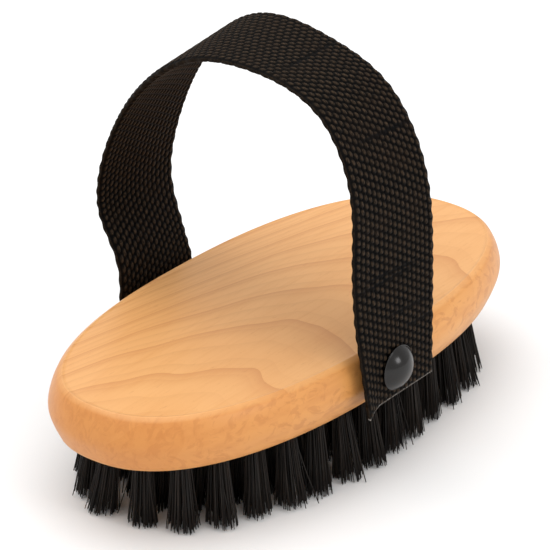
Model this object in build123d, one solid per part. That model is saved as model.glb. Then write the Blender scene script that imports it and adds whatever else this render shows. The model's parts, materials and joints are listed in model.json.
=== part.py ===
from build123d import *
import math
import os

# Palm grooming brush with a hand strap, in millimetres.
# Origin: centre of the plane of the bristle tips, on which the brush stands.
# +X runs along the block, +Z up through the back of the brush, -Y is the near side.

# Wooden block
BLOCK_LENGTH = 130.0
BLOCK_WIDTH = 61.4
BLOCK_THICKNESS = 12.0
PLAN_EXPONENT = 2.34          # fullness of the oval: 2 is an ellipse, more is squarer
PLAN_POINTS = 32
# Height above the underside as a share of the thickness, and inset from the widest outline
EDGE_PROFILE = [(0.0, 1.9), (0.21, 0.75), (0.43, 0.0), (0.67, 0.4), (0.86, 1.2), (1.0, 2.6)]

# Bristle tufts
BRISTLE_LENGTH = 17.3
HOLE_RADIUS = 2.0
HOLE_DEPTH = 5.5
TUFT_CLEARANCE = 0.05
TUFT_TIP_RADIUS = 2.8
TUFT_OVERREACH = 1.2          # length drawn before the tips are cut level
TUFTS_PER_GROUP = 4
# Ring name: insets from the widest outline at the sides and at the ends, number of tufts,
# splay in degrees at the sides and at the ends
RINGS = {
    "outer": (6.0, 12.5, 32, 6.0, 5.0),
    "middle": (14.0, 20.5, 28, 3.5, 3.5),
    "inner": (22.0, 29.0, 20, 1.5, 2.0),
}
CENTRE_TUFTS = 7
CENTRE_PITCH = 9.0

# Flat wire anchors that hold each folded tuft at the bottom of its hole
ANCHOR_THICKNESS = 0.5
ANCHOR_HEIGHT = 1.4
ANCHOR_LIFT = 0.8
ANCHOR_END_GAP = 0.05

# Dome-headed strap nails
NAIL_HEIGHT = 7.0             # above the block's underside, clear of the tuft holes
NAIL_ALONG = -3.0             # the strap sits a little off the block's middle
NAIL_RADIUS = 0.8
NAIL_DEPTH = 10.0             # into the wood
NAIL_POINT = 1.6
NAIL_HEAD_RADIUS = 2.6
NAIL_HEAD_THICKNESS = 0.6
NAIL_HEAD_ROOM = 1.0          # between the nail's head and the dome
DOME_RADIUS = 5.0
DOME_HEIGHT = 2.8
DOME_THICKNESS = 0.5
DOME_GAP = 0.12               # between the dome's rim and the strap

# Webbing strap
STRAP_WIDTH = 25.0
STRAP_THICKNESS = 1.6
STRAP_GAP = 0.3               # between the strap and the block's side
STRAP_HOLE_CLEARANCE = 0.05
STRAP_END = 0.6               # height of the cut ends above the block's underside

underside = BRISTLE_LENGTH
half_length = BLOCK_LENGTH / 2
half_width = BLOCK_WIDTH / 2
nail_z = underside + NAIL_HEIGHT
leg_y = half_width + STRAP_GAP + STRAP_THICKNESS / 2
strap_face = leg_y + STRAP_THICKNESS / 2

# Middle line of the strap seen along X, as corners (y, height above the underside, bend radius).
STRAP_CORNERS = [
    (-leg_y, STRAP_END, None),
    (-leg_y, 15.0, 40.0),
    (-30.8, 31.0, 60.0),
    (-30.4, 67.0, 31.0),
    (12.0, 72.3, 25.0),
    (38.4, 49.5, 42.0),
    (38.4, 21.5, 10.0),
    (leg_y, 13.4, 3.0),
    (leg_y, STRAP_END, None),
]


def oval_point(angle, side_inset, end_inset):
    """Point of the block's oval outline, moved inwards, at a parameter angle."""
    power = 2 / PLAN_EXPONENT
    cosine = math.cos(angle)
    sine = math.sin(angle)
    x = math.copysign(abs(cosine) ** power, cosine) * (half_length - end_inset)
    y = math.copysign(abs(sine) ** power, sine) * (half_width - side_inset)
    return Vector(x, y)


def oval_wire(z, side_inset, end_inset):
    """Closed smooth outline of the block, moved inwards, at one height."""
    angles = [math.tau * i / PLAN_POINTS for i in range(PLAN_POINTS)]
    points = [oval_point(angle, side_inset, end_inset) for angle in angles]
    return Spline([(p.X, p.Y, z) for p in points], periodic=True)


def ring_points(side_inset, end_inset, count):
    """Evenly spaced points along the inset outline, none of them on an axis."""
    ring = oval_wire(underside, side_inset, end_inset)
    return [ring.position_at((i + 0.5) / count) for i in range(count)]


def tuft_places():
    """Each group's name and the places of its tufts: local +Z points out of the hole, downwards."""
    groups = {}
    for ring, (side_inset, end_inset, count, side_splay, end_splay) in RINGS.items():
        places = []
        for point in ring_points(side_inset, end_inset, count):
            towards_end = (point.X / half_length) ** 2
            splay = side_splay + (end_splay - side_splay) * towards_end
            outward = Vector(point.X / half_length**2, point.Y / half_width**2, 0).normalized()
            down = outward * math.sin(math.radians(splay)) - Vector(0, 0, 1) * math.cos(
                math.radians(splay)
            )
            places.append(Plane(origin=point, x_dir=outward.cross(down), z_dir=down))
        for start in range(0, count, TUFTS_PER_GROUP):
            name = f"{ring}_{start // TUFTS_PER_GROUP + 1}"
            groups[name] = places[start : start + TUFTS_PER_GROUP]
    middle = (CENTRE_TUFTS - 1) / 2
    groups["centre"] = [
        Plane(origin=((i - middle) * CENTRE_PITCH, 0, underside), z_dir=(0, 0, -1))
        for i in range(CENTRE_TUFTS)
    ]
    return groups


def tuft_hole(place):
    """Blind hole for one tuft, open at the underside."""
    depth = HOLE_DEPTH + HOLE_RADIUS
    return place * Pos(0, 0, HOLE_RADIUS - depth / 2) * Cylinder(HOLE_RADIUS, depth)


def anchor_box():
    """Flat wire anchor across the hole, in the tuft's own frame."""
    length = 2 * (HOLE_RADIUS - ANCHOR_END_GAP)
    height = ANCHOR_LIFT + ANCHOR_HEIGHT / 2 - HOLE_DEPTH
    return Pos(0, 0, height) * Box(length, ANCHOR_THICKNESS, ANCHOR_HEIGHT)


def tuft(place):
    """One tuft: straight in its hole, folded round its anchor, flaring to the tips."""
    root = HOLE_RADIUS - TUFT_CLEARANCE
    reach = TUFT_OVERREACH * BRISTLE_LENGTH
    flare = (TUFT_TIP_RADIUS - root) * reach / BRISTLE_LENGTH
    profile = Polyline(
        (0, -HOLE_DEPTH), (root, -HOLE_DEPTH), (root, 0), (root + flare, reach), (0, reach),
        close=True,
    )
    body = revolve(Plane.XZ * make_face(profile), Axis.Z)
    slot = Pos(0, 0, ANCHOR_LIFT + ANCHOR_HEIGHT / 2 - HOLE_DEPTH) * Box(
        2 * HOLE_RADIUS, ANCHOR_THICKNESS, ANCHOR_HEIGHT
    )
    standing = place * (body - slot)
    return split(standing, bisect_by=Plane.XY, keep=Keep.TOP)


def side_frame(side):
    """Frame on the nail's axis at the block's side: local +Z points out of the side."""
    return Plane(origin=(NAIL_ALONG, side * half_width, nail_z), x_dir=(1, 0, 0), z_dir=(0, side, 0))


def nail_hole(side):
    """Pilot hole for one strap nail."""
    depth = 2 * NAIL_DEPTH
    return side_frame(side) * Cylinder(NAIL_RADIUS, depth)


def nail(side):
    """Strap nail: a pointed shank with a flat head inside the dome."""
    dome_base = strap_face - half_width + DOME_GAP
    head_top = dome_base + DOME_HEIGHT - DOME_THICKNESS - NAIL_HEAD_ROOM
    head_base = head_top - NAIL_HEAD_THICKNESS
    profile = Polyline(
        (0, -NAIL_DEPTH),
        (NAIL_RADIUS, NAIL_POINT - NAIL_DEPTH),
        (NAIL_RADIUS, head_base),
        (NAIL_HEAD_RADIUS, head_base),
        (NAIL_HEAD_RADIUS, head_top),
        (0, head_top),
        close=True,
    )
    return side_frame(side) * revolve(Plane.XZ * make_face(profile), Axis.Z)


def dome_cap(side):
    """Hollow pressed dome over the nail's head."""
    ball = (DOME_RADIUS**2 + DOME_HEIGHT**2) / (2 * DOME_HEIGHT)
    centre = DOME_HEIGHT - ball
    block = Pos(0, 0, ball) * Box(2 * ball, 2 * ball, 2 * ball)
    shell = Pos(0, 0, centre) * (Sphere(ball) - Sphere(ball - DOME_THICKNESS))
    base = strap_face - half_width + DOME_GAP
    return side_frame(side) * Pos(0, 0, base) * (shell & block)


def wood_block():
    """Oval block with a rounded edge, its tuft holes and its nail holes."""
    sections = [
        make_face(oval_wire(underside + share * BLOCK_THICKNESS, inset, inset))
        for share, inset in EDGE_PROFILE
    ]
    holes = [tuft_hole(place) for places in tuft_places().values() for place in places]
    holes += [nail_hole(side) for side in (-1, 1)]
    return loft(sections) - holes


def strap():
    """Webbing arch over the hand, nailed to both sides of the block."""
    corners = [(y, underside + height) for y, height, _ in STRAP_CORNERS]
    radii = [radius for _, _, radius in STRAP_CORNERS if radius]
    line = FilletPolyline(*corners, radius=radii)
    outer = line.offset_2d(STRAP_THICKNESS / 2, side=Side.LEFT, closed=False)
    inner = line.offset_2d(STRAP_THICKNESS / 2, side=Side.RIGHT, closed=False)
    ends = [Line(outer @ 0, inner @ 1), Line(outer @ 1, inner @ 0)]
    outline = make_face([outer, inner, *ends])
    ribbon = Plane.YZ * extrude(outline, STRAP_WIDTH / 2, both=True)
    through = Pos(0, 0, nail_z) * Rot(90, 0, 0) * Cylinder(
        NAIL_RADIUS + STRAP_HOLE_CLEARANCE, 2 * BLOCK_WIDTH
    )
    return Pos(NAIL_ALONG, 0, 0) * (ribbon - through)


def write(name, shapes):
    """One STEP file for each node."""
    export_step(Compound(children=list(shapes)), f"parts/{name}.step")


os.makedirs("parts", exist_ok=True)
write("wood_block", [wood_block()])
write("hand_strap", [strap()])
for side_name, side in (("near", -1), ("far", 1)):
    write(f"{side_name}_dome_cap", [dome_cap(side)])
    write(f"{side_name}_strap_nail", [nail(side)])
for group, places in tuft_places().items():
    write(f"{group}_tufts", [tuft(place) for place in places])
    write(f"{group}_anchors", [place * anchor_box() for place in places])
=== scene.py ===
import json
import math

import bmesh
import bpy
import numpy as np
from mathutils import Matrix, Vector


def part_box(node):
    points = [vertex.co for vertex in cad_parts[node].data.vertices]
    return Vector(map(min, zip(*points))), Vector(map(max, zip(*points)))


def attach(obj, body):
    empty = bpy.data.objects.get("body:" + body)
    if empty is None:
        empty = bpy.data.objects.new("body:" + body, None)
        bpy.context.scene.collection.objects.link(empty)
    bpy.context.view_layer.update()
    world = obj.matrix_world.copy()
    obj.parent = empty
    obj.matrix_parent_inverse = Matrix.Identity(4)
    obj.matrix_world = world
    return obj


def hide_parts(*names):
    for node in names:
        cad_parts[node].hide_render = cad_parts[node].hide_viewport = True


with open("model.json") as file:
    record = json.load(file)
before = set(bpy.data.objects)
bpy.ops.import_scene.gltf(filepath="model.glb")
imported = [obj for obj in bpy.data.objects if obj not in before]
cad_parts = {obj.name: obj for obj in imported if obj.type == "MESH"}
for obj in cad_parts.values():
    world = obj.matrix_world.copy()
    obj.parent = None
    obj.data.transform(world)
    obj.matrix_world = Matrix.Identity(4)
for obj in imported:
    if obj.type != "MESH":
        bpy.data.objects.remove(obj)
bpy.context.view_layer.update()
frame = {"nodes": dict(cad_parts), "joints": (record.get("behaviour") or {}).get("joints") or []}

MM = 0.001

# Where things are, from the frame
block_low, block_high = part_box("wood_block")
underside = block_low.z
block_thickness = block_high.z - underside
half_length = (block_high.x - block_low.x) / 2
half_width = (block_high.y - block_low.y) / 2
hinge = frame["joints"][0]
nail_x = hinge["pos_m"][0]
nail_z = hinge["pos_m"][2]
dome_low, dome_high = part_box("near_dome_cap")
dome_radius = (dome_high.x - dome_low.x) / 2


# ---------------------------------------------------------------- camera, floor and light

VIEW_AZIMUTH = math.radians(-52.47)
VIEW_ELEVATION = math.radians(26.05)
VIEW_DISTANCE = 799.2 * MM
VIEW_LENS = 242.6
VIEW_ASIDE = -1.6 * MM       # of the aim point from the block's underside, across the view
VIEW_ABOVE = 15.8 * MM       # and up the view
FLOOR_REACH = 6.0
WORLD_STRENGTH = 0.76
# Softboxes, aimed at the block: place in metres, side of the square in metres, power in watts
SOFTBOXES = {
    "overhead": ((-0.1, 0.15, 1.2), 1.6, 12.5),
    "side": ((0.08, -0.9, 0.46), 0.3, 1.6),
}


def view_axes(azimuth, elevation):
    """Backward, right and up directions of a level camera."""
    back = Vector((
        math.sin(azimuth) * math.cos(elevation),
        -math.cos(azimuth) * math.cos(elevation),
        math.sin(elevation),
    ))
    right = Vector((math.cos(azimuth), math.sin(azimuth), 0))
    return back, right, back.cross(right)


def make_camera():
    back, right, up = view_axes(VIEW_AZIMUTH, VIEW_ELEVATION)
    data = bpy.data.cameras.new("camera")
    data.lens = VIEW_LENS
    data.clip_start = 0.05
    data.clip_end = 50
    camera = bpy.data.objects.new("camera", data)
    bpy.context.scene.collection.objects.link(camera)
    aim = Vector((0, 0, underside)) + right * VIEW_ASIDE + up * VIEW_ABOVE
    camera.location = aim + back * VIEW_DISTANCE
    camera.rotation_mode = "QUATERNION"
    camera.rotation_quaternion = (-back).to_track_quat("-Z", "Y")
    bpy.context.scene.camera = camera


def make_floor():
    mesh = bpy.data.meshes.new("floor")
    reach = FLOOR_REACH
    corners = [(-reach, -reach, 0), (reach, -reach, 0), (reach, reach, 0), (-reach, reach, 0)]
    mesh.from_pydata(corners, [], [(0, 1, 2, 3)])
    floor = bpy.data.objects.new("floor", mesh)
    bpy.context.scene.collection.objects.link(floor)
    material, shader, _ = new_material("floor_paper")
    shader.inputs["Base Color"].default_value = (0.9, 0.9, 0.9, 1)
    shader.inputs["Roughness"].default_value = 0.9
    shader.inputs["Specular IOR Level"].default_value = 0.1
    mesh.materials.append(material)


def add_area_light(name, location, size, power):
    data = bpy.data.lights.new(name, "AREA")
    data.shape = "SQUARE"
    data.size = size
    data.energy = power
    light = bpy.data.objects.new(name, data)
    light.location = location
    aim = Vector((0, 0, underside)) - Vector(location)
    light.rotation_mode = "QUATERNION"
    light.rotation_quaternion = aim.to_track_quat("-Z", "Y")
    bpy.context.scene.collection.objects.link(light)


def make_light():
    world = bpy.data.worlds.new("studio")
    world.use_nodes = True
    background = world.node_tree.nodes["Background"]
    background.inputs["Color"].default_value = (1, 1, 1, 1)
    background.inputs["Strength"].default_value = WORLD_STRENGTH
    bpy.context.scene.world = world
    for name, (location, size, power) in SOFTBOXES.items():
        add_area_light(name, location, size, power)
    settings = bpy.context.scene.view_settings
    settings.view_transform = "Standard"
    settings.look = "None"


# ---------------------------------------------------------------- node helpers


def new_material(name):
    """A material with an empty tree but for its shader and output."""
    material = bpy.data.materials.new(name)
    material.use_nodes = True
    tree = material.node_tree
    tree.nodes.clear()
    output = tree.nodes.new("ShaderNodeOutputMaterial")
    shader = tree.nodes.new("ShaderNodeBsdfPrincipled")
    tree.links.new(shader.outputs[0], output.inputs["Surface"])
    return material, shader, tree


def srgb(red, green, blue):
    """Linear colour from 8-bit display values."""
    return tuple(
        (c / 255 / 12.92) if c / 255 <= 0.04045 else ((c / 255 + 0.055) / 1.055) ** 2.4
        for c in (red, green, blue)
    ) + (1,)


class Tree:
    """Short names for the few kinds of shader node that the materials use."""

    def __init__(self, tree):
        self.tree = tree

    def link(self, source, target):
        self.tree.links.new(source, target)
        return source

    def node(self, kind, inputs=(), **settings):
        made = self.tree.nodes.new("ShaderNode" + kind)
        for name, value in settings.items():
            setattr(made, name, value)
        for name, value in dict(inputs).items():
            if hasattr(value, "is_linked"):
                self.link(value, made.inputs[name])
            else:
                made.inputs[name].default_value = value
        return made

    def position(self):
        return self.node("TexCoord").outputs["Object"]

    def attribute(self, name):
        return self.node("Attribute", attribute_name=name).outputs["Fac"]

    def stretched(self, vector, scale, offset=(0, 0, 0)):
        made = self.node("Mapping", {"Vector": vector, "Scale": scale, "Location": offset})
        return made.outputs[0]

    def noise(self, vector, scale, detail=3.0, roughness=0.5, distortion=0.0):
        made = self.node("TexNoise", {
            "Vector": vector, "Scale": scale, "Detail": detail,
            "Roughness": roughness, "Distortion": distortion,
        })
        return made.outputs["Fac"]

    def remap(self, value, low, high, to_low=0.0, to_high=1.0):
        made = self.node("MapRange", {
            "Value": value, "From Min": low, "From Max": high, "To Min": to_low, "To Max": to_high,
        })
        return made.outputs[0]

    def math(self, operation, first, second=0.0):
        made = self.tree.nodes.new("ShaderNodeMath")
        made.operation = operation
        for socket, value in zip(made.inputs, (first, second)):
            if hasattr(value, "is_linked"):
                self.link(value, socket)
            else:
                socket.default_value = value
        return made.outputs[0]

    def mix(self, share, first, second, blend="MIX"):
        made = self.node("Mix", data_type="RGBA", blend_type=blend)
        for name, value in (("Factor_Float", share), ("A_Color", first), ("B_Color", second)):
            socket = next(s for s in made.inputs if s.identifier == name)
            if hasattr(value, "is_linked"):
                self.link(value, socket)
            else:
                socket.default_value = value
        return next(s for s in made.outputs if s.identifier == "Result_Color")

    def bump(self, height, distance, strength=1.0, normal=None):
        inputs = {"Height": height, "Distance": distance, "Strength": strength}
        if normal is not None:
            inputs["Normal"] = normal
        return self.node("Bump", inputs).outputs[0]


def new_object(name, vertices, faces, smooth=True):
    mesh = bpy.data.meshes.new(name)
    mesh.from_pydata([tuple(v) for v in vertices], [], [tuple(f) for f in faces])
    mesh.validate()
    mesh.update()
    mesh.polygons.foreach_set("use_smooth", [smooth] * len(mesh.polygons))
    made = bpy.data.objects.new(name, mesh)
    bpy.context.scene.collection.objects.link(made)
    return made


def add_attribute(made, name, values):
    layer = made.data.attributes.new(name, "FLOAT", "POINT")
    layer.data.foreach_set("value", np.asarray(values, dtype=np.float32))


# ---------------------------------------------------------------- wooden block

PLAN_EXPONENT = 2.34
AROUND = 288                 # points round the oval
CROWN = 0.35 * MM            # rise of the middle of the block's back
# Inset from the widest outline by share of the thickness, along the sides and at the ends
SIDE_PROFILE = [
    (0.0, 1.9), (0.21, 0.75), (0.43, 0.0), (0.62, 0.25), (0.8, 0.95), (0.93, 1.9), (1.0, 3.1),
]
END_PROFILE = [
    (0.0, 1.9), (0.21, 0.75), (0.43, 0.0), (0.62, 0.45), (0.8, 1.35), (0.95, 2.6), (1.0, 3.4),
]
BACK_RINGS = (0.985, 0.95, 0.88, 0.76, 0.6, 0.42, 0.22)     # shares of the rim's outline
UNDERSIDE_RINGS = (0.5, 0.8, 0.96)


def smooth_profile(points, shares):
    """Insets, in metres, on a smooth curve through the points of a profile."""
    x, y = np.array(points).T
    slope = np.gradient(y, x)
    index = np.clip(np.searchsorted(x, shares, side="right") - 1, 0, len(x) - 2)
    span = x[index + 1] - x[index]
    t = (shares - x[index]) / span
    start = (2 * t**3 - 3 * t**2 + 1) * y[index] + (t**3 - 2 * t**2 + t) * span * slope[index]
    end = (3 * t**2 - 2 * t**3) * y[index + 1] + (t**3 - t**2) * span * slope[index + 1]
    return (start + end) * MM


def oval(inset, angle):
    """Points of the block's outline moved inwards, at parameter angles."""
    power = 2 / PLAN_EXPONENT
    x = np.sign(np.cos(angle)) * np.abs(np.cos(angle)) ** power * (half_length - inset)
    y = np.sign(np.sin(angle)) * np.abs(np.sin(angle)) ** power * (half_width - inset)
    return x, y


def make_block_mesh():
    angle = np.linspace(0, math.tau, AROUND, endpoint=False)
    endness = np.abs(np.cos(angle)) ** 3
    shares = np.concatenate([np.linspace(0, 0.9, 19), np.linspace(0.92, 1, 7)])
    rings = []
    for share in shares:
        side = smooth_profile(SIDE_PROFILE, np.array([share]))[0]
        end = smooth_profile(END_PROFILE, np.array([share]))[0]
        x, y = oval(side + (end - side) * endness, angle)
        rings.append(np.stack([x, y, np.full(AROUND, underside + share * block_thickness)], 1))
    rim = rings[-1]
    for share in BACK_RINGS:
        ring = rim.copy()
        ring[:, :2] *= share
        ring[:, 2] += CROWN * (1 - share**2) - CROWN
        rings.append(ring)
    rim[:, 2] -= CROWN
    rings = [rings[0] * [share, share, 1] for share in UNDERSIDE_RINGS] + rings
    vertices = np.concatenate(rings + [[[0, 0, underside]], [[0, 0, underside + block_thickness]]])
    faces = []
    for row in range(len(rings) - 1):
        low = row * AROUND
        high = low + AROUND
        for i in range(AROUND):
            j = (i + 1) % AROUND
            faces.append((low + i, low + j, high + j, high + i))
    bottom = len(rings) * AROUND
    last = (len(rings) - 1) * AROUND
    for i in range(AROUND):
        j = (i + 1) % AROUND
        faces.append((bottom, j, i))
        faces.append((bottom + 1, last + i, last + j))
    return new_object("varnished_block", vertices, faces)


RING_AXIS = -19 * MM          # the tongues of the growth rings lie along this line of the back
RING_PITCH = 23.5 * MM
RING_SHIFT = 10 * MM
PALE = (226, 167, 105)
WARM = (216, 151, 87)
BROWN = (186, 114, 56)
DEEP = (208, 138, 72)


def ring_field(t, place):
    """Distance along the block of the growth ring through each point, in ring pitches."""
    wobble = t.noise(t.stretched(place, (14, 45, 45)), 1.0, 2.0, 0.45)
    parts = t.node("SeparateXYZ", {"Vector": place}).outputs
    aside = t.math("DIVIDE", t.math("SUBTRACT", parts["Y"], RING_AXIS), MM)
    square = t.math("MULTIPLY", aside, aside)
    cube = t.math("MULTIPLY", t.math("MULTIPLY", square, aside), 0.0009)
    bend = t.math("ADD", t.math("MULTIPLY", square, 0.012), cube)
    along = t.math("ADD", t.math("DIVIDE", parts["X"], MM), bend)
    shaken = t.math("ADD", along, t.math("MULTIPLY", t.math("SUBTRACT", wobble, 0.5), 26.0))
    return t.math("DIVIDE", t.math("ADD", shaken, RING_SHIFT / MM), RING_PITCH / MM), aside


def thin_line(t, field, repeats, low, phase=0.0):
    """Lines that rise softly on one side and stop sharply on the other, like late wood."""
    turn = t.math("FRACT", t.math("ADD", t.math("MULTIPLY", field, repeats), phase))
    return t.remap(turn, low, 1.0)


def wood_material():
    material, shader, tree = new_material("varnished_beech")
    t = Tree(tree)
    place = t.position()
    field, aside = ring_field(t, place)
    fibre = t.noise(t.stretched(place, (70, 1100, 1100)), 1.0, 4.0, 0.6)
    long_fibre = t.noise(t.stretched(place, (22, 420, 420)), 1.0, 3.0, 0.55)
    patch = t.noise(t.stretched(place, (25, 70, 70)), 1.0, 3.0)
    broad = t.noise(t.stretched(place, (9, 20, 20)), 1.0, 1.0)
    fleck = t.noise(t.stretched(place, (330, 1500, 600)), 1.0, 2.0, 0.7)
    mottle = t.noise(t.stretched(place, (170, 420, 300)), 1.0, 3.0, 0.65, 1.4)
    colour = t.mix(t.remap(broad, 0.3, 0.7), srgb(*PALE), srgb(231, 174, 113))
    colour = t.mix(t.remap(patch, 0.4, 0.75, 0.0, 0.4), colour, srgb(*WARM))
    # Late wood of each ring, with finer and fainter lines between, stronger on the far half
    ring = t.math("POWER", thin_line(t, field, 1.0, 0.55), 3.0)
    colour = t.mix(t.math("MULTIPLY", ring, 0.5), colour, srgb(*BROWN))
    fine = t.math("POWER", thin_line(t, field, 3.0, 0.3, 0.4), 2.0)
    far_half = t.remap(aside, -4.0, 22.0, 0.06, 0.2)
    colour = t.mix(t.math("MULTIPLY", fine, far_half), colour, srgb(*BROWN))
    colour = t.mix(t.remap(long_fibre, 0.5, 0.78, 0.0, 0.3), colour, srgb(*WARM))
    colour = t.mix(t.remap(fibre, 0.5, 0.8, 0.0, 0.35), colour, srgb(*DEEP))
    colour = t.mix(t.remap(fleck, 0.62, 0.8, 0.0, 0.3), colour, srgb(*BROWN))
    # The rounded edge cuts the fibres: deeper, streaked at the ends and flecked along the sides
    normal = t.node("NewGeometry").outputs["Normal"]
    parts = t.node("SeparateXYZ", {"Vector": normal}).outputs
    steep = t.remap(t.math("ABSOLUTE", parts["Z"]), 0.97, 0.6)
    endness = t.remap(t.math("ABSOLUTE", parts["X"]), 0.15, 0.75)
    side_colour = t.mix(t.remap(broad, 0.35, 0.65), srgb(214, 144, 74), srgb(224, 157, 86))
    side_colour = t.mix(t.remap(mottle, 0.5, 0.6, 0.0, 0.4), side_colour, srgb(178, 104, 46))
    side_colour = t.mix(t.remap(long_fibre, 0.45, 0.7, 0.0, 0.4), side_colour, srgb(192, 118, 56))
    side_colour = t.mix(t.math("MULTIPLY", endness, 0.4), side_colour, srgb(198, 120, 52))
    colour = t.mix(t.math("MULTIPLY", steep, 0.85), colour, side_colour)
    t.link(colour, shader.inputs["Base Color"])
    shader.inputs["Roughness"].default_value = 0.45
    shader.inputs["Specular IOR Level"].default_value = 0.35
    shader.inputs["Coat Weight"].default_value = 0.12
    shader.inputs["Coat Roughness"].default_value = 0.28
    height = t.math("ADD", t.math("MULTIPLY", fibre, 0.6), t.math("MULTIPLY", patch, 0.4))
    t.link(t.bump(height, 0.00008, 0.5), shader.inputs["Normal"])
    return material


# ---------------------------------------------------------------- tufts of bristle

BRISTLE_RADIUS = 0.17 * MM
BRISTLE_SIDES = 4
BRISTLE_STEPS = 4
ROOT_SINK = 2.5 * MM         # how far the bristles run up into their hole
ROOT_SPREAD = 1.85 * MM
TIP_TAPER = 0.25             # of the bristle's radius, from root to tip
BRISTLES = {"outer": 120, "middle": 110, "inner": 100, "centre": 100}
BRISTLE_WANDER = 0.28 * MM
STRAY_SHARE = 0.03
STRAY_WANDER = 1.3 * MM
TUFT_DRIFT = 0.5 * MM
SHORT_SHARE = 0.06           # of the bristles, cut well short of the rest


def islands(node):
    """The separate solids of a CAD node, each as an array of points."""
    cad = frame["nodes"][node]
    work = bmesh.new()
    work.from_mesh(cad.data)
    bmesh.ops.remove_doubles(work, verts=work.verts, dist=1e-6)
    work.verts.ensure_lookup_table()
    seen = set()
    found = []
    for start in work.verts:
        if start.index in seen:
            continue
        stack = [start]
        seen.add(start.index)
        group = []
        while stack:
            vertex = stack.pop()
            group.append(vertex.co[:])
            for edge in vertex.link_edges:
                other = edge.other_vert(vertex)
                if other.index not in seen:
                    seen.add(other.index)
                    stack.append(other)
        found.append(np.array(group))
    work.free()
    return found


def tuft_axis(points):
    """Centre of a tuft at the block's underside, and its direction down."""
    tips = points[points[:, 2] < 0.05 * MM]
    top = points[points[:, 2] > points[:, 2].max() - 0.6 * MM]
    foot = (tips.min(0) + tips.max(0)) / 2
    head = (top.min(0) + top.max(0)) / 2
    down = (foot - head) / np.linalg.norm(foot - head)
    root = head + down * ((underside - head[2]) / down[2])
    return root, down


def bristle_path(rng, root, down, spread):
    """Start of one bristle at the underside, its lean at the tip, its length and its steps."""
    radius = ROOT_SPREAD * math.sqrt(rng.random())
    turn = rng.random() * math.tau
    aside = np.cross(down, [0, 1, 0])
    aside /= np.linalg.norm(aside)
    across = np.cross(down, aside)
    offset = (aside * math.cos(turn) + across * math.sin(turn)) * radius
    lean = offset * spread + rng.normal(0, BRISTLE_WANDER, 3)
    if rng.random() < STRAY_SHARE:
        lean += rng.normal(0, STRAY_WANDER, 3)
    lean[2] = 0
    length = underside / -down[2]
    t = np.linspace(0, 1, BRISTLE_STEPS)
    return root + offset, lean, length, t


def make_tufts(node, rng):
    count = BRISTLES[node.split("_")[0]]
    vertices, faces, tones = [], [], []
    ring_turn = np.arange(BRISTLE_SIDES) * math.tau / BRISTLE_SIDES
    for points in islands(node):
        root, down = tuft_axis(points)
        trim = rng.uniform(0.0, 0.5) * MM
        spread = rng.uniform(0.55, 1.05)
        drift = rng.normal(0, TUFT_DRIFT, 3)
        for _ in range(count):
            start, lean, length, t = bristle_path(rng, root, down, spread)
            tone = rng.random()
            tip = trim + abs(rng.normal(0, 0.35)) * MM
            if rng.random() < SHORT_SHARE:
                tip += rng.uniform(0.5, 2.0) * MM
            path = start + np.outer(t, down * length) + np.outer(t**1.4, lean + drift * [1, 1, 0])
            path -= down * ROOT_SINK * (1 - t)[:, None]
            path[:, 2] = np.interp(t, [0, 1], [underside + ROOT_SINK, tip])
            base = len(vertices)
            girth = BRISTLE_RADIUS * rng.uniform(0.8, 1.15)
            for step, centre in enumerate(path):
                size = girth * (1 - TIP_TAPER * step / (BRISTLE_STEPS - 1))
                for turn in ring_turn:
                    vertices.append(centre + [size * math.cos(turn), size * math.sin(turn), 0])
                    tones.append(tone)
            for step in range(BRISTLE_STEPS - 1):
                for i in range(BRISTLE_SIDES):
                    j = (i + 1) % BRISTLE_SIDES
                    low = base + step * BRISTLE_SIDES
                    high = low + BRISTLE_SIDES
                    faces.append((low + i, high + i, high + j, low + j))
            faces.append(tuple(base + i for i in range(BRISTLE_SIDES)))
            last = base + (BRISTLE_STEPS - 1) * BRISTLE_SIDES
            faces.append(tuple(last + i for i in reversed(range(BRISTLE_SIDES))))
    made = new_object(node.replace("_tufts", "_bristles"), vertices, faces)
    add_attribute(made, "tone", tones)
    return made


def bristle_material():
    material, shader, tree = new_material("black_bristle")
    t = Tree(tree)
    tone = t.attribute("tone")
    streak = t.noise(t.stretched(t.position(), (900, 900, 120)), 1.0, 2.0)
    colour = t.mix(tone, srgb(12, 9, 7), srgb(34, 26, 20))
    colour = t.mix(t.remap(streak, 0.55, 0.8, 0.0, 0.5), colour, srgb(50, 38, 28))
    t.link(colour, shader.inputs["Base Color"])
    t.link(t.remap(streak, 0.3, 0.7, 0.42, 0.6), shader.inputs["Roughness"])
    shader.inputs["Specular IOR Level"].default_value = 0.25
    return material


# ---------------------------------------------------------------- webbing strap

# Middle line of the strap: control points (x from the nails, y, height above the block's
# underside, twist in degrees that turns the strap's +X edge outwards)
STRAP_LINE = [
    (0.6, -31.85, 0.2, 0.0), (0.4, -31.85, 13.2, 0.0), (-0.1, -30.7, 31.5, 6.5),
    (0.3, -30.9, 47.9, -1.0), (0.6, -22.1, 66.3, -6.6), (0.8, -4.5, 70.9, -3.2),
    (0.8, 13.4, 71.9, 6.7), (1.6, 27.2, 60.8, 3.8), (2.1, 36.0, 46.9, 0.5),
    (2.1, 42.2, 26.3, -0.5), (-0.6, 32.6, 17.0, 12.0), (-0.6, 31.7, 9.0, 0.0),
    (-0.6, 31.85, 0.2, 0.0),
]
WEB_WIDTH = 25.0 * MM
WEB_CORE = 0.38 * MM             # half the thickness without the raised yarns
YARN_RISE = 0.44 * MM
WARP_COLUMNS = 17
PICK_PITCH = 1.75 * MM           # length in which the weave repeats
SCALLOP_PITCH = 3.33 * MM        # a selvedge turns back every second pick
GRAIN_HALF = 0.86 * MM
GRAIN_SLANT = 0.28
COLUMN_SHARE = 0.5               # half the width of a raised yarn, in column pitches
COLUMN_STEPS = 5
WEB_STEP = 0.24 * MM
EDGE_STEPS = 6
EDGE_BULGE = 0.2 * MM
SCALLOP = 0.4 * MM
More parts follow.
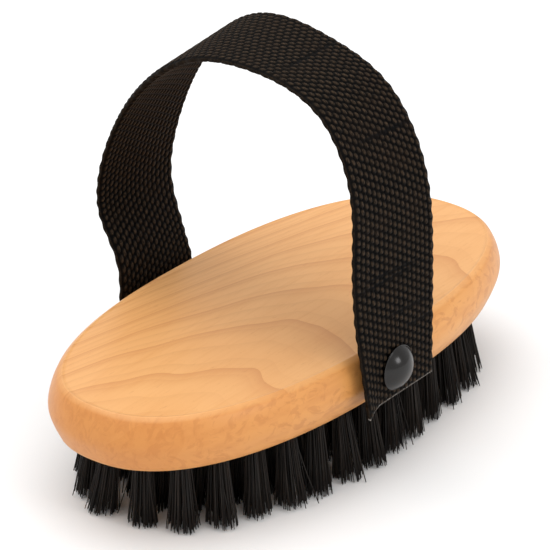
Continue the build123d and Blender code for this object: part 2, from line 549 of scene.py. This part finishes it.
SEALED_LENGTH = 0.9 * MM         # the weave is melted flat at the cut ends
CUT_LINE = 0.45 * MM
EDGE_FADE = 0.35 * MM            # the yarns sink towards the selvedges over this width
EDGE_SWELL = 0.1 * MM
WEFT_GROOVES = 9
GROOVE_HALF = 0.35 * MM
GROOVE_DEPTH = 0.6               # as a share of the yarns' height
# The near end's loose edge stands away from the block beside the nail
LOOSE_LIFT = 2.4 * MM
LOOSE_FROM = 5.6 * MM
LOOSE_LENGTH = 22 * MM


def b_spline(points, count):
    """Points on the clamped cubic B-spline of a few control points."""
    points = np.asarray(points, float)
    degree = 3
    inner = np.linspace(0, 1, len(points) - degree + 1)
    knots = np.concatenate([[0] * degree, inner, [1] * degree])
    t = np.linspace(0, 1, count)
    t[-1] = 1 - 1e-9
    basis = [((knots[i] <= t) & (t < knots[i + 1])).astype(float) for i in range(len(knots) - 1)]
    for d in range(1, degree + 1):
        step = []
        for i in range(len(knots) - d - 1):
            left = knots[i + d] - knots[i]
            right = knots[i + d + 1] - knots[i + 1]
            part = np.zeros(count)
            if left > 0:
                part += (t - knots[i]) / left * basis[i]
            if right > 0:
                part += (knots[i + d + 1] - t) / right * basis[i + 1]
            step.append(part)
        basis = step
    return np.stack(basis, 1) @ points


def even_line(points, step):
    """The strap's middle line at even steps of length, and that length."""
    fine = b_spline(points, 4000)
    steps = np.linalg.norm(np.diff(fine[:, :3], axis=0), axis=1)
    run = np.concatenate([[0], np.cumsum(steps)])
    count = int(run[-1] / step) + 1
    at = np.linspace(0, run[-1], count)
    return np.stack([np.interp(at, run, column) for column in fine.T], 1), at


def weave_height(along, across, side):
    """Height of the raised yarns of one face over the strap's core, from 0 to 1."""
    pitch = WEB_WIDTH / WARP_COLUMNS
    column = np.floor((across + WEB_WIDTH / 2) / pitch)
    best = np.zeros(np.broadcast(along, across).shape)
    for shift in (-1, 0, 1):
        index = column + shift
        middle = (index + 0.5) * pitch - WEB_WIDTH / 2
        jitter = np.sin(index * 12.9898 + side) * 0.06
        phase = along / PICK_PITCH + 0.5 * (index % 2) + jitter
        near = (phase - np.floor(phase) - 0.5) * PICK_PITCH
        offset = across - middle + GRAIN_SLANT * near
        inside = 1 - np.abs(near / GRAIN_HALF) ** 2.6 - (offset / (COLUMN_SHARE * pitch)) ** 2
        inside = np.where((index < 0) | (index >= WARP_COLUMNS), 0, inside)
        best = np.maximum(best, np.sqrt(np.clip(inside, 0, 1)))
    return best


def strap_frame():
    """Points along the strap's middle line, its directions along, across and outwards there."""
    points = np.array(STRAP_LINE) * [MM, MM, MM, math.radians(1)]
    line, along = even_line(points, WEB_STEP)
    centre = line[:, :3] + [nail_x, 0, underside]
    ahead = np.gradient(centre, along, axis=0)
    ahead /= np.linalg.norm(ahead, axis=1)[:, None]
    level = np.stack([np.zeros_like(along), -ahead[:, 2], ahead[:, 1]], 1)
    twist = line[:, 3][:, None]
    across = np.cos(twist) * [1, 0, 0] + np.sin(twist) * level
    across -= ahead * np.sum(across * ahead, axis=1)[:, None]
    across /= np.linalg.norm(across, axis=1)[:, None]
    return centre, across, np.cross(across, ahead), along


def weft_grooves(along, across, rng):
    """Share of the yarns' height left beside a few loose picks, which dip right across the weave."""
    left = np.ones(np.broadcast(along, across).shape)
    for _ in range(WEFT_GROOVES):
        place = rng.uniform(0.08, 0.92) * along.max()
        middle = rng.uniform(-0.4, 0.4) * WEB_WIDTH
        reach = rng.uniform(0.15, 0.5) * WEB_WIDTH
        slant = rng.uniform(-0.08, 0.08)
        near = np.exp(-(((along - place - slant * across) / GROOVE_HALF) ** 2))
        left -= GROOVE_DEPTH * near * np.exp(-(((across - middle) / reach) ** 4))
    return np.clip(left, 0.1, 1)


def make_strap():
    centre, ruling, outward, along = strap_frame()
    total = along[-1]
    half = WEB_WIDTH / 2
    flat = np.linspace(-1, 1, WARP_COLUMNS * COLUMN_STEPS + 1)
    face_count = len(flat)
    to_end = np.minimum(along, total - along)
    seal = np.clip(to_end / SEALED_LENGTH, 0, 1)[:, None]
    u = along[:, None]
    across = (flat * half)[None, :] * np.ones_like(u)
    edge_fade = np.clip((half - np.abs(across)) / EDGE_FADE, 0.25, 1)
    grooves = weft_grooves(u, across, np.random.default_rng(3))
    outer = weave_height(u, across, 1) * grooves
    inner = weave_height(u + PICK_PITCH / 2, across, 2)
    outer_height = WEB_CORE + YARN_RISE * outer * seal * edge_fade
    inner_height = -WEB_CORE - YARN_RISE * inner * seal * edge_fade
    # The selvedges bulge where a pick turns back, at opposite places on the two edges
    round_turn = np.linspace(0, math.pi, EDGE_STEPS)[1:-1]
    edges = []
    for sign, turn in ((1, round_turn), (-1, round_turn + math.pi)):
        scallop = 0.5 + 0.5 * sign * np.cos(math.tau * u / SCALLOP_PITCH)
        bulge = EDGE_BULGE + SCALLOP * scallop * seal
        edges.append((
            sign * half + np.sin(turn) * bulge,
            np.cos(turn) * (WEB_CORE + EDGE_SWELL * scallop),
        ))
    wide = np.concatenate([across, edges[0][0], across[:, ::-1], edges[1][0]], 1)
    tall = np.concatenate([outer_height, edges[0][1], inner_height[:, ::-1], edges[1][1]], 1)
    rim = np.full_like(edges[0][0], 0.7)
    raised = np.concatenate([outer, rim, inner[:, ::-1], rim], 1)
    vertices = centre[:, None] + ruling[:, None] * wide[..., None] + outward[:, None] * tall[..., None]
    aside = np.clip((-wide - LOOSE_FROM) / (half - LOOSE_FROM), 0, None)
    free = np.clip(1 - u / LOOSE_LENGTH, 0, 1)
    vertices += outward[:, None] * (LOOSE_LIFT * aside**1.5 * free**1.5)[..., None]
    count, section = wide.shape
    faces = []
    for row in range(count - 1):
        low = row * section
        high = low + section
        for i in range(section):
            j = (i + 1) % section
            faces.append((low + i, low + j, high + j, high + i))
    for row in (0, count - 1):
        ring = [row * section + i for i in range(section)]
        first_edge = face_count + len(round_turn)
        top = ring[:face_count]
        right = ring[face_count:first_edge]
        low = ring[first_edge:first_edge + face_count][::-1]
        left = ring[first_edge + face_count:]
        strip = [(top[i], top[i + 1], low[i + 1], low[i]) for i in range(face_count - 1)]
        strip += [(top[-1], *right, low[-1]), (low[0], *left, top[0])]
        faces += [face if row == 0 else face[::-1] for face in strip]
    made = new_object("webbing_strap", vertices.reshape(-1, 3), faces)
    add_attribute(made, "raised", raised.reshape(-1))
    add_attribute(made, "along", np.repeat(along, section))
    add_attribute(made, "across", wide.reshape(-1))
    add_attribute(made, "cut_end", np.repeat(1 - np.clip(to_end / CUT_LINE, 0, 1), section))
    return made, total


def webbing_material():
    material, shader, tree = new_material("black_webbing")
    t = Tree(tree)
    raised = t.attribute("raised")
    thread = t.node("CombineXYZ", {
        "X": t.attribute("across"), "Y": t.math("MULTIPLY", t.attribute("along"), 0.22),
    }).outputs[0]
    fibre = t.noise(thread, 5200, 2.0, 0.6)
    patch = t.noise(t.position(), 160, 2.0)
    # Painted shade: the low parts of the weave, between and beside the raised yarns, are darkened
    # almost to black
    colour = t.mix(t.remap(raised, 0.2, 0.85), srgb(2, 1, 1), srgb(15, 11, 7))
    # Painted highlight: the crests of the raised yarns are lightened where the fibre noise is high
    lit = t.math("MULTIPLY", t.remap(fibre, 0.38, 0.7), t.remap(raised, 0.6, 1.0))
    colour = t.mix(lit, colour, srgb(84, 67, 51))
    colour = t.mix(t.remap(patch, 0.45, 0.7, 0.0, 0.2), colour, srgb(34, 23, 14))
    frayed = t.math("MULTIPLY", t.attribute("cut_end"), t.remap(fibre, 0.45, 0.55, 0.0, 0.8))
    colour = t.mix(frayed, colour, srgb(176, 168, 160))
    t.link(colour, shader.inputs["Base Color"])
    t.link(t.remap(fibre, 0.3, 0.8, 0.5, 0.75), shader.inputs["Roughness"])
    shader.inputs["Specular IOR Level"].default_value = 0.06
    t.link(t.bump(fibre, 0.00006, 0.6), shader.inputs["Normal"])
    return material


# ---------------------------------------------------------------- dome caps

DOME_TURNS = 96
DOME_WALL = 0.5 * MM


def make_dome(side, name, node):
    """A pressed hollow cap with a rolled rim, on the strap's outer face."""
    low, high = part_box(node)
    base = high.y if side < 0 else low.y
    height = high.y - low.y
    ball = (dome_radius**2 + height**2) / (2 * height)
    rim_turn = math.asin(dome_radius / ball)
    outer = [
        (ball * math.sin(a), ball * math.cos(a) - ball + height)
        for a in np.linspace(0, rim_turn * 0.985, 22)
    ]
    lip = [
        (dome_radius - 0.02 * MM, 0.16 * MM), (dome_radius - 0.06 * MM, 0.05 * MM),
        (dome_radius - 0.2 * MM, 0.0), (dome_radius - DOME_WALL, 0.06 * MM),
    ]
    inner = [
        (r * 0.93, h - DOME_WALL) for r, h in outer[::-1][3:] if h - DOME_WALL > 0.12 * MM
    ]
    profile = outer + lip + inner
    vertices, faces = [], []
    for radius, height_here in profile:
        for i in range(DOME_TURNS):
            turn = i * math.tau / DOME_TURNS
            vertices.append((
                nail_x + radius * math.cos(turn),
                base + side * height_here,
                nail_z + radius * math.sin(turn),
            ))
    for row in range(len(profile) - 1):
        low_ring = row * DOME_TURNS
        high_ring = low_ring + DOME_TURNS
        for i in range(DOME_TURNS):
            j = (i + 1) % DOME_TURNS
            quad = (low_ring + i, low_ring + j, high_ring + j, high_ring + i)
            faces.append(quad if side > 0 else quad[::-1])
    made = new_object(name, vertices, faces)
    work = bmesh.new()
    work.from_mesh(made.data)
    bmesh.ops.remove_doubles(work, verts=work.verts, dist=1e-6)
    bmesh.ops.recalc_face_normals(work, faces=work.faces)
    for face in work.faces:
        face.smooth = True
    work.to_mesh(made.data)
    work.free()
    return made


def dome_material():
    material, shader, tree = new_material("black_enamel")
    t = Tree(tree)
    smudge = t.noise(t.position(), 420, 3.0)
    colour = t.mix(smudge, srgb(10, 8, 6), srgb(20, 15, 11))
    t.link(colour, shader.inputs["Base Color"])
    t.link(t.remap(smudge, 0.3, 0.7, 0.16, 0.26), shader.inputs["Roughness"])
    shader.inputs["Specular IOR Level"].default_value = 0.45
    t.link(t.bump(smudge, 0.00003, 0.3), shader.inputs["Normal"])
    return material


def steel_material(name, bright):
    material, shader, tree = new_material(name)
    t = Tree(tree)
    drawn = t.noise(t.stretched(t.position(), (2500, 400, 2500)), 1.0, 2.0)
    colour = t.mix(drawn, (bright * 0.8, bright * 0.8, bright * 0.8, 1), (bright, bright, bright, 1))
    t.link(colour, shader.inputs["Base Color"])
    shader.inputs["Metallic"].default_value = 1.0
    t.link(t.remap(drawn, 0.3, 0.7, 0.25, 0.4), shader.inputs["Roughness"])
    return material


# ---------------------------------------------------------------- the model


def dress(node, material):
    data = frame["nodes"][node].data
    data.materials.clear()
    data.materials.append(material)


def main():
    make_camera()
    make_floor()
    make_light()

    block = make_block_mesh()
    block.data.materials.append(wood_material())
    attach(block, "brush")
    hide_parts("wood_block")

    rng = np.random.default_rng(7)
    bristle = bristle_material()
    wire = steel_material("anchor_steel", 0.6)
    nail_steel = steel_material("nail_steel", 0.55)
    for node in sorted(frame["nodes"]):
        if node.endswith("_tufts"):
            tufts = make_tufts(node, rng)
            tufts.data.materials.append(bristle)
            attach(tufts, "brush")
            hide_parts(node)
        elif node.endswith("_anchors"):
            dress(node, wire)
        elif node.endswith("_strap_nail"):
            dress(node, nail_steel)

    enamel = dome_material()
    for side, name in ((-1, "near"), (1, "far")):
        dome = make_dome(side, f"{name}_dome", f"{name}_dome_cap")
        dome.data.materials.append(enamel)
        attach(dome, "brush")
        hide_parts(f"{name}_dome_cap")

    strap, length = make_strap()
    strap.data.materials.append(webbing_material())
    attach(strap, "strap")
    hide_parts("hand_strap")


main()
